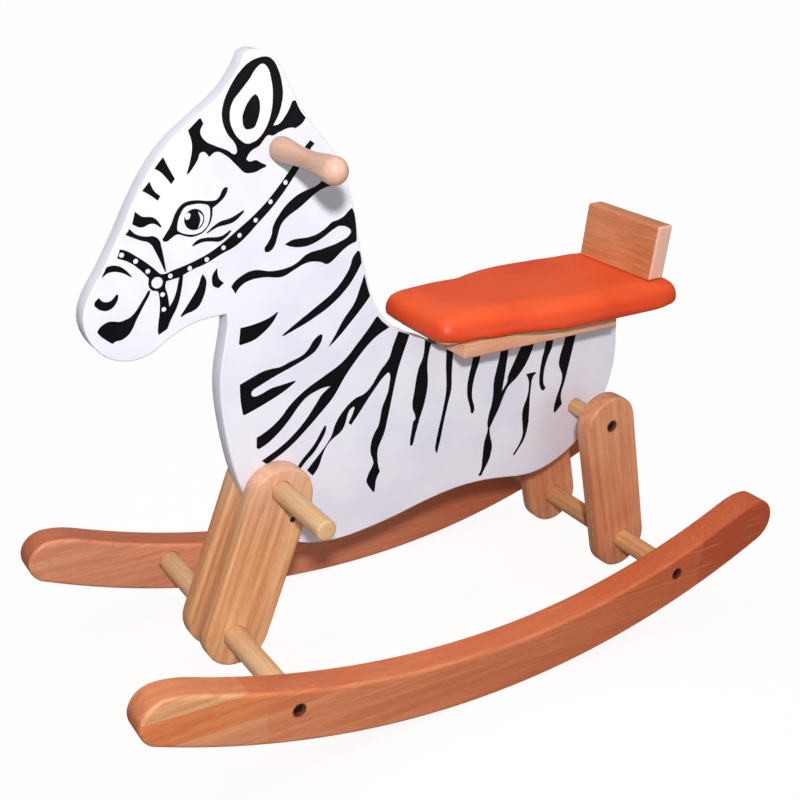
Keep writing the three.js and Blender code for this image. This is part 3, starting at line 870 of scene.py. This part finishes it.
# %% Neck and chest
MARKINGS |= {
    "neck_1": [
        """167.8,421.7 163.3,427.2 156.7,432.8 148.9,437.2 135,442 130.5,445.5 120,451 /114.5,456
    /111.5,448.5 121,441.5 130.6,438.7 135.6,436.1 150,425.6 162.2,417.8 166.1,413.3 169.4,403.3
    171.1,397.8 173.9,393.9 177.8,392.4 /180,393.1 180,396.1 177.2,400 174.4,405.6 173.3,412.2""",
    ],
    "neck_2": [
        """/102.4,421.3 100,416.7 97.8,406.7 /96.3,394.4 /96.9,393.1 105.6,389.4 120.6,377.8
    123.3,376.9 130,379.4 141.1,380.2 153.3,375.6 160,372.2 164.4,370.9 180,372.4 193.3,371.1
    200,367.8 /204.7,362 /208.3,368 206.1,371.1 201.1,375 190,379.1 173.3,376.7 157.8,378.3
    151.1,381.1 142.2,387.2 127.8,390.2 112.2,394.4 103.3,399.4 102.4,402.2 103.9,404.4
    113.3,407.4 116.7,406.3 128.9,398.9 135.6,395.8 142.2,393.9 150,393.6 156.7,394.7
    /162.8,396.9 156.7,399.8 140,401.1 132.2,403.3 125.6,407.2 120.6,411.1 114.4,412.8
    109.4,415.3 105.6,418.9""",
    ],
    "neck_3": [
        """/94.7,385.3 93.1,384.2 /90.4,374.4 96.3,363.8 104.4,353.3 117.8,341.7 134.4,332.2
    152.2,324.4 /161.1,320.9 /162.8,321.7 152.2,328.9 132.2,341.7 115.6,353.3 104.4,366.7
    101.1,373.3 99.1,380""",
    ],
    "neck_4": [
        """/200,333.3 194.4,333.7 177.8,337.2 171.1,340 /167.8,342.2 /166.7,341.7 172.2,333.3
    183.3,323.9 188.9,321.1 /200,318.9 /201.1,320""",
    ],
    "neck_5": [
        """/87.1,364.4 85,357.5 /80.3,344.4 86.3,336.9 98.8,323.1 112.5,309.4 /119,304.4
    113.8,312.5 105,327.5 95.6,340 90,355""",
    ],
    "chest_1": [
        """/200,285 186.3,290.6 178.8,293.1 171.3,294.1 163.8,294.4 156.3,296.9 142.5,301.9
    137.5,306.3 133.8,311.9 130,315.6 /126.9,317.3 /125,316.5 125,313.8 130,304.4 135,300.6
    150,293.8 170,286.3 183.8,280.3 187.5,278.5 189.4,276.3 188.8,273.5 186.3,272.3 182.5,272.8
    171.3,276.9 162.5,278.1 /149.4,280 /148.8,278.8 158.8,272.5 175,265 183.8,261.5 /195,257.5
    /196.9,258.1 199.1,271.3""",
    ],
    "chest_2": [
        """/183.8,235 178.8,236.9 163.8,246.9 152.5,259.4 138.8,270 121.3,279.4 103.8,289.4
    90,303.8 76.3,320 73.1,324.4 /71.3,325.6 66.3,320 /58.4,313.8 68.8,308.8 77.5,302.5 90,289.4
    101.9,273.8 111.3,258.8 123.8,245.6 137.5,232.5 152.5,220 167.5,211 /173.8,208.4 /178.8,212.3
    160,222.5 151.3,228.8 137.5,242.5 127.5,256.3 123.1,262.5 /115,268.8 121.3,268.8 128.8,266.9
    137.5,263.1 143.8,257.5 155,243.8 167.5,231.9 175,226.9 /181.9,223.8 /183.8,225.6""",
    ],
    "chest_3": [
        """/146,197 /142,196 135,203.8 128.8,209.4 123.8,216.3 120,222.5 117.5,228.8 /117.3,231.9
    /118.8,233.1 123.1,226.3 127.5,218.8 132.5,212.5 138.8,206.3""",
    ],
}

# %% Belly and rump
MARKINGS |= {
    "belly_1": [
        """/48.8,308.8 /36.9,303.8 41.4,290 46.4,272.9 49.3,257.1 53.6,230 57.4,211.4 60.7,204.3
    62.6,197.1 62.1,188.6 60.7,181.4 /58.6,175.7 62.1,168.6 62.6,161.4 /63.1,156.4 /64.6,155.7
    71.4,165.7 72.6,168.6 71.4,174.3 66.4,185.7 67.4,190 69.7,195.7 70.4,202.9 67.1,215.7
    63.6,221.4 60.7,238.6 55.7,252.9 54.6,261.4 54.6,268.6 56.4,271.4 59.3,270 71.4,256.4
    84.3,238.6 /92.1,228.3 /95,230.7 90.3,241.4 90,245 92.9,244.3 95.7,240.7 97.1,235.7
    98.9,229.3 101.9,224.4 111.9,217.5 116.3,212.5 119.4,206.3 123.8,193.8 /128.8,187.1
    /134.8,193.8 126.3,203.1 115,216.3 111.9,221.3 107.5,233.8 98.8,245.6 88.8,253.1 81.3,255.3
    75,260 65,274.7 57.1,284.3 53.6,295.7""",
    ],
    "belly_2": [
        """/20,296.5 /12.5,292.5 14.6,281.4 15,272.9 12.9,252.9 15,234.3 19.3,218.6 /24.3,195
    /26.4,194 27.4,195.7 /26,217.9 /23.6,220.7 24.3,224.3 27.7,232.9 26.9,250 24.3,270 20.7,279.3
    19.7,287.1""",
    ],
    "belly_3": [
        """/-4.5,289 -6,267.1 -8.6,244.3 -6.9,224.3 -2.1,192.9 -1.7,185.7 /-2.9,181.4 /-4.3,180.7
    -6.4,191.4 -9.3,212.9 -12.9,234.3 -14.3,242.9 -13.1,261.4 /-13,289""",
    ],
    "belly_4": [
        """/-35.5,290 -36,269.3 -33.6,254.3 -33.1,237.1 -38.9,218.6 /-40,214.3 /-42.1,213.3
    -43.6,215.7 -39.7,230.7 -38.9,238.6 -40.7,252.9 -44.3,267.1 /-45,290""",
    ],
    "rump_1": [
        """/-69,291 -68.3,270.7 -65.4,252.9 -64,242.9 -64.6,222.9 -61.7,205.7 -61.4,198.6
    -62.6,192.9 -60,180 -59.7,162.9 -59.3,150 /-56.9,145.7 /-57.9,144 /-60.7,144.3 -62.6,148.6
    -68.3,160 -69.7,167.1 -70,174.3 -66,187.1 -65,193.6 -66.9,198.6 -73.6,212.9 -78.6,227.1
    -82.1,233.6 -91.4,241.4 -101.4,254.3 -107.9,270.7 /-112,291 /-99,291 -91.7,270.7 -86.4,258.6
    -80.7,244.3 -80.3,238.6 /-75,230 -76.4,247.1 -77.6,270 /-78,291""",
    ],
    "rump_2": [
        """/-103.1,242.9 -110,243.3 -114.3,243.1 /-115.7,241.7 -112.9,240 -111.1,228.6 -112.6,200
    -113.1,190 -110,172.9 -104.3,163.6 /-100,157.4 /-97.9,158.3 -105.7,171.4 -107.6,178.6
    -106.4,187.1 -104,204.3 -107.9,220 -108.3,228.6 -107.1,235.7 -105,240""",
    ],
    "rump_3": [
        """/-123.5,291 -123.1,270.7 -120.7,252.9 -120.7,234.3 -122.6,227.1 -127.4,221.7
    /-130.3,224.3 -127.4,227.9 -125.4,240 -127.9,255.7 -131.7,265.7 /-131.5,291""",
    ],
    "rump_4": [
        """/-148,292 -147.1,270.7 -143.6,252.9 -143.6,247.1 -149.7,234.3 -150.3,228.6 -146,210
    -144.6,198.6 /-145.4,195 /-146.9,194.6 -149.3,197.1 /-154.6,202.1 -151.7,212.9 -154.3,227.1
    -157.9,251.4 -161.1,275.7 /-162,292""",
    ],
}
print("markings:", len(MARKINGS))


# %% Bridle and iris, with their round parts
def ring(x, z, radius, count=12):
    """A round line as smooth points."""
    turns = [2 * pi * i / count for i in range(count)]
    return " ".join(f"{x + radius * cos(t):.2f},{z + radius * sin(t):.2f}" for t in turns)


RIVET = 1.85
RIVETS = [(295.2, 402.4), (284.8, 396.7), (275.6, 388.1), (258.1, 382.6), (242.6, 386.7), (228.7, 392)]
RIVETS += [(215, 399.8), (201.7, 408.1), (188.3, 418.7), (175.9, 431.9), (163.4, 445.9), (264.4, 368.9)]
RIVETS += [(263.6, 357.2)]
MARKINGS["bridle"] = [
    "/296.4,406.8 292.9,405.8 282.8,399.4 271.7,390.6 268.3,387.2 265.6,385 261.7,384.8 257.2,386.3 246.1,389.4"
    " 235,393.3 222.8,399 201.1,414.2 187.8,424.4 174.7,437 160,455 /146.2,473.7 /142.8,477 /139,474.2 /142,471.3"
    " 153,454.5 170,432.3 185.6,416.7 204.4,400.4 216.7,395 230,388.7 239.4,385.8 /247.8,382.2 248.9,373.3"
    " 252.8,358.3 258.3,347.8 /261.1,341.3 /267.8,337.6 268.6,339.4 266.7,360 267,366.7 268.3,371.7 272.5,373"
    " 275.3,377 275.2,381 /275,382.8 281.7,390 290.6,396.9 /298.6,400.2",
    ring(268.6, 378.6, 4.4),
    "/251.1,380.6 253.9,368.9 256.7,362.2 /259.1,358.9 260.6,368.9 262.2,374.4 /261.4,378.9",
    *(ring(x, z, RIVET, 8) for x, z in RIVETS),
]
MARKINGS["iris"] = [
    ring(238.7, 423.6, 8),
    "244.8,428.7 242.2,428.3 241.9,426.1 243.9,423.9 245.8,425",
    "/235.8,429.4 231.9,425.6 231.9,421.7 /235.8,416.4 233.9,423.3",
]

# %% [markdown]
# Filling and thickening are settings of a flat curve. A mesh is made of it, stood upright on
# the board's face, and copied to the other face, because both sides are painted alike.

# %% Paint both faces
PAINT_DEPTH = 0.1 * MM
face_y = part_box("zebra_board")[1].y


def marking_mesh(name, loops):
    flat = bpy.data.curves.new(name, "CURVE")
    flat.dimensions = "2D"
    flat.fill_mode = "BOTH"
    flat.resolution_u = 6
    flat.extrude = PAINT_DEPTH
    for loop in loops:
        points = loop.split()
        spline = flat.splines.new("BEZIER")
        spline.use_cyclic_u = True
        spline.bezier_points.add(len(points) - 1)
        for point, text in zip(spline.bezier_points, points):
            x, z = (float(value) * MM for value in text.lstrip("/").split(","))
            point.co = (x, z, 0)
            kind = "VECTOR" if text.startswith("/") else "AUTO"
            point.handle_left_type = point.handle_right_type = kind
    holder = bpy.data.objects.new(name, flat)
    bpy.context.scene.collection.objects.link(holder)
    mesh = bpy.data.meshes.new_from_object(holder.evaluated_get(bpy.context.evaluated_depsgraph_get()))
    bpy.data.objects.remove(holder)
    return mesh


for name, loops in MARKINGS.items():
    mesh = marking_mesh(name, loops)
    for side, sign in (("left", 1), ("right", -1)):
        shape = bmesh.new()
        shape.from_mesh(mesh)
        bmesh.ops.remove_doubles(shape, verts=shape.verts, dist=1e-6)
        bmesh.ops.rotate(shape, cent=(0, 0, 0), matrix=Matrix.Rotation(pi / 2, 3, "X"), verts=shape.verts)
        bmesh.ops.translate(shape, vec=(0, sign * face_y, 0), verts=shape.verts)
        bmesh.ops.recalc_face_normals(shape, faces=shape.faces)
        painted = finished(f"marking_{name}_{side}", shape, stripe_paint.material, "board_paint")
        painted.data.set_sharp_from_angle(angle=radians(30))
print("painted markings:", 2 * len(MARKINGS))

# %% [markdown]
# ## The cushion
#
# The pad is foam under stretched vinyl: nearly flat on top, round along its rim, and pulled
# in at the bottom where the cover is stapled under the base. Blowing up a closed mesh a
# little with the cloth solver gives that tension better than moving points by hand. It is
# made level, in the seat's own frame, and then tipped back with the seat.

# %% The pad before it is filled
PAD_BOTTOM, PAD_TOP = 14.6 * MM, 38.6 * MM
HEM, POCKET = 7 * MM, 9.3 * MM
RIM_ROUND = 7 * MM
TUCK_ROUND = 4 * MM


def pad_outline():
    """A bmesh of one face: the cushion's plan at its top."""
    shape = merged_copy("seat_cushion")
    bmesh.ops.transform(shape, matrix=SEAT.inverted(), verts=shape.verts)
    shape.edges.index_update()
    chains = sharp_chains(shape)
    tops = [c for c in chains if min(v.co.z for e in c for v in e.verts) > PAD_TOP - 1 * MM]
    outline = set(max(tops, key=extent))
    others = [e for e in shape.edges if e not in outline]
    bmesh.ops.delete(shape, geom=others, context="EDGES_FACES")
    bmesh.ops.delete(shape, geom=[v for v in shape.verts if not v.link_edges], context="VERTS")
    bmesh.ops.edgenet_fill(shape, edges=shape.edges)
    return shape


pad = pad_outline()
bmesh.ops.recalc_face_normals(pad, faces=pad.faces)
if sum(f.normal.z for f in pad.faces) < 0:
    bmesh.ops.reverse_faces(pad, faces=pad.faces)
wall = bmesh.ops.extrude_face_region(pad, geom=pad.faces[:])["geom"]
lower = [v for v in wall if isinstance(v, bmesh.types.BMVert)]
bmesh.ops.translate(pad, vec=(0, 0, PAD_BOTTOM - PAD_TOP), verts=lower)
bmesh.ops.recalc_face_normals(pad, faces=pad.faces)
floor_face = min(pad.faces, key=lambda f: f.calc_center_median().z)
bmesh.ops.inset_region(pad, faces=[floor_face], thickness=HEM, use_even_offset=True)
pocket = bmesh.ops.extrude_discrete_faces(pad, faces=[floor_face])["faces"]
bmesh.ops.translate(pad, vec=(0, 0, POCKET), verts=pocket[0].verts)


def level_edges(height):
    return [e for e in pad.edges if all(abs(v.co.z - height) < 0.1 * MM for v in e.verts)]


def on_wall(edge):
    """Whether one of the edge's faces is the pad's outer wall."""
    upright = (f for f in edge.link_faces if abs(f.normal.z) < 0.1)
    return any(f.calc_center_median().z > PAD_BOTTOM + POCKET for f in upright)


rounding = {"segments": 6, "profile": 0.5, "affect": "EDGES", "material": -1}
lip = [e for e in level_edges(PAD_TOP) if e.calc_face_angle(0) > SHARP]
bmesh.ops.bevel(pad, geom=lip, offset=RIM_ROUND, **rounding)
tuck = [e for e in level_edges(PAD_BOTTOM) if on_wall(e)]
bmesh.ops.bevel(pad, geom=tuck, offset=TUCK_ROUND, **(rounding | {"segments": 4}))
bmesh.ops.recalc_face_normals(pad, faces=pad.faces)
print("pad before filling:", len(pad.faces), "faces")

# %% [markdown]
# The fill: an even remesh first, because the solver wants small equal faces. The walls of
# the pocket stay where they are, and no point may move far.


# %% Fill it
VOXEL = 4 * MM
PULL_IN = 1.6 * MM
SINK = 1 * MM
FREE_ABOVE = PAD_BOTTOM + POCKET + 1.2 * MM  # below this the pad is held
FREE_FADE = 4 * MM
MOST_MOVE = 3.4 * MM
PRESSURE = 4
STEPS = 20
MIDDLE = Vector((-113 * MM, 0, 0))
STRAIGHT = 70 * MM  # how far each way from the middle the sides run straight
BACK_FOOT = ((-236 * MM, -212 * MM), 54 * MM)  # where the backrest stands, along X and Y


def applied(piece):
    """Works the piece's modifiers into its mesh."""
    mesh = bpy.data.meshes.new_from_object(piece.evaluated_get(bpy.context.evaluated_depsgraph_get()))
    piece.modifiers.clear()
    piece.data = mesh


def smoothed(piece, times):
    smoothing = piece.modifiers.new("smooth", "CORRECTIVE_SMOOTH")
    smoothing.iterations = times
    smoothing.use_only_smooth = True


mesh = bpy.data.meshes.new("seat_pad")
pad.to_mesh(mesh)
pad.free()
cushion = bpy.data.objects.new("seat_pad", mesh)
bpy.context.scene.collection.objects.link(cushion)
remesh = cushion.modifiers.new("even", "REMESH")
remesh.mode = "VOXEL"
remesh.voxel_size = VOXEL
smoothed(cushion, 3)
applied(cushion)
for vert in cushion.data.vertices:
    share = min(max((vert.co.z - FREE_ABOVE) / FREE_FADE, 0), 1)
    outward = Vector((vert.co.x, vert.co.y, 0)) - MIDDLE
    outward.x = max(abs(outward.x) - STRAIGHT, 0) * (1 if outward.x > 0 else -1)
    if outward.length > 0:
        vert.co -= outward.normalized() * PULL_IN * share * min(outward.length / (50 * MM), 1)
    vert.co.z -= SINK * share
before = [vert.co.copy() for vert in cushion.data.vertices]
held = cushion.vertex_groups.new(name="held")
held.add([v.index for v in cushion.data.vertices if v.co.z < FREE_ABOVE], 1, "REPLACE")
cloth = cushion.modifiers.new("filling", "CLOTH")
cloth.settings.vertex_group_mass = "held"
cloth.settings.use_pressure = True
cloth.settings.uniform_pressure_force = PRESSURE
cloth.settings.quality = 5
cloth.settings.effector_weights.gravity = 0
cloth.point_cache.frame_start, cloth.point_cache.frame_end = 1, STEPS
for step in range(1, STEPS + 1):
    bpy.context.scene.frame_set(step)
smoothed(cushion, 7)
applied(cushion)
bpy.context.scene.frame_set(1)
(rear, fore), reach = BACK_FOOT
for vert, start in zip(cushion.data.vertices, before):
    move = vert.co - start
    if move.length > MOST_MOVE:
        vert.co = start + move.normalized() * MOST_MOVE
    if rear < vert.co.x < fore and abs(vert.co.y) < reach:
        vert.co.z = min(vert.co.z, PAD_TOP)
crown = max(vert.co.z for vert in cushion.data.vertices)
print("filled pad:", len(cushion.data.vertices), "points, top at", round(crown, 5))

# %% [markdown]
# A stretched cover puckers slightly where the plan bends inwards at the waist. A few narrow
# troughs down the wall show that, and a last subdivision rounds everything.

# %% Puckers, then tip the pad into place
PUCKERS = [(-44 * MM, 0.42 * MM), (-58 * MM, 0.6 * MM), (-71 * MM, 0.42 * MM)]
PUCKER_WIDTH = 5 * MM
for vert in cushion.data.vertices:
    if abs(vert.co.y) > 40 * MM and vert.co.z > PAD_BOTTOM + 2 * MM:
        for x, depth in PUCKERS:
            near = max(0, 1 - ((vert.co.x - x) / PUCKER_WIDTH) ** 2)
            vert.co.y -= (1 if vert.co.y > 0 else -1) * depth * near**2
cushion.data.transform(SEAT)
for face in cushion.data.polygons:
    face.use_smooth = True
cushion.data.materials.clear()
cushion.data.materials.append(vinyl.material)
subdivision = cushion.modifiers.new("rounder", "SUBSURF")
subdivision.levels = subdivision.render_levels = 1
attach(cushion, "root")
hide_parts("seat_cushion")
print("cushion:", len(cushion.data.polygons), "faces")

# %% [markdown]
# ## Floor and light
#
# A product picture is lit flatly: a white floor and a white dome that hide where the world
# ends, a soft even sky, a flash beside the camera, a weak lamp that lifts the rear, a wide
# light from above and one for the far side. Floor and dome glow, so no lamp has to reach them.


# %% Floor and dome
def backdrop(name, shape, brightness, **constants):
    """A glowing piece of the stage that neither lights the toy nor shows in its varnish."""
    mesh = bpy.data.meshes.new(name)
    shape.to_mesh(mesh)
    shape.free()
    piece = bpy.data.objects.new(name, mesh)
    bpy.context.scene.collection.objects.link(piece)
    glow = Finish(f"{name}_white", **constants)
    glow.shader.inputs["Emission Color"].default_value = (1, 1, 1, 1)
    glow.shader.inputs["Emission Strength"].default_value = brightness
    mesh.materials.append(glow.material)
    piece.visible_diffuse = piece.visible_glossy = False
    return piece


flat = bmesh.new()
bmesh.ops.create_grid(flat, x_segments=1, y_segments=1, size=60)
grey = (0.5, 0.5, 0.5, 1)
floor = backdrop("floor", flat, 0.89, Base_Color=grey, Roughness=0.9, Specular_IOR_Level=0.05)
ball = bmesh.new()
bmesh.ops.create_uvsphere(ball, u_segments=48, v_segments=24, radius=30)
black = (0, 0, 0, 1)
dome = backdrop("dome", ball, 0.99, Base_Color=black, Roughness=1, Specular_IOR_Level=0)
dome.visible_shadow = False
print("stage pieces:", floor.name, dome.name)

# %% Sky and lamps
SKY = 0.2
world = bpy.data.worlds.new("studio")
bpy.context.scene.world = world
world.use_nodes = True
world.node_tree.nodes["Background"].inputs["Color"].default_value = (1, 1, 1, 1)
world.node_tree.nodes["Background"].inputs["Strength"].default_value = SKY
bpy.context.scene.view_settings.view_transform = "Standard"

unlit = bpy.data.collections.new("not lit by lamps")
for stage, entry in ((floor, 0), (dome, 1)):
    unlit.objects.link(stage)
    unlit.collection_objects[entry].light_linking.link_state = "EXCLUDE"


def lamp(name, kind, strength, place):
    """A lamp that lights the toy and leaves the glowing stage alone."""
    light = bpy.data.lights.new(name, kind)
    light.energy = strength
    holder = bpy.data.objects.new(name, light)
    bpy.context.scene.collection.objects.link(holder)
    holder.location = place
    holder.light_linking.receiver_collection = unlit
    return holder


lamp("key", "POINT", 59, (0.7, 0.97, 0.92)).data.shadow_soft_size = 0.04
lamp("rear fill", "POINT", 5.5, (-0.5, 0.9, 0.5)).data.shadow_soft_size = 0.3
lamp("overhead", "SUN", 0.85, (0, 0, 2)).data.angle = radians(50)
far_side = lamp("far side", "SUN", 1.5, (-0.3, -1.5, 0.4))
far_side.data.angle = radians(40)
far_side.rotation_euler = (radians(80), 0, radians(-12))
far_side.visible_glossy = False
print("lights:", len(bpy.data.lights))
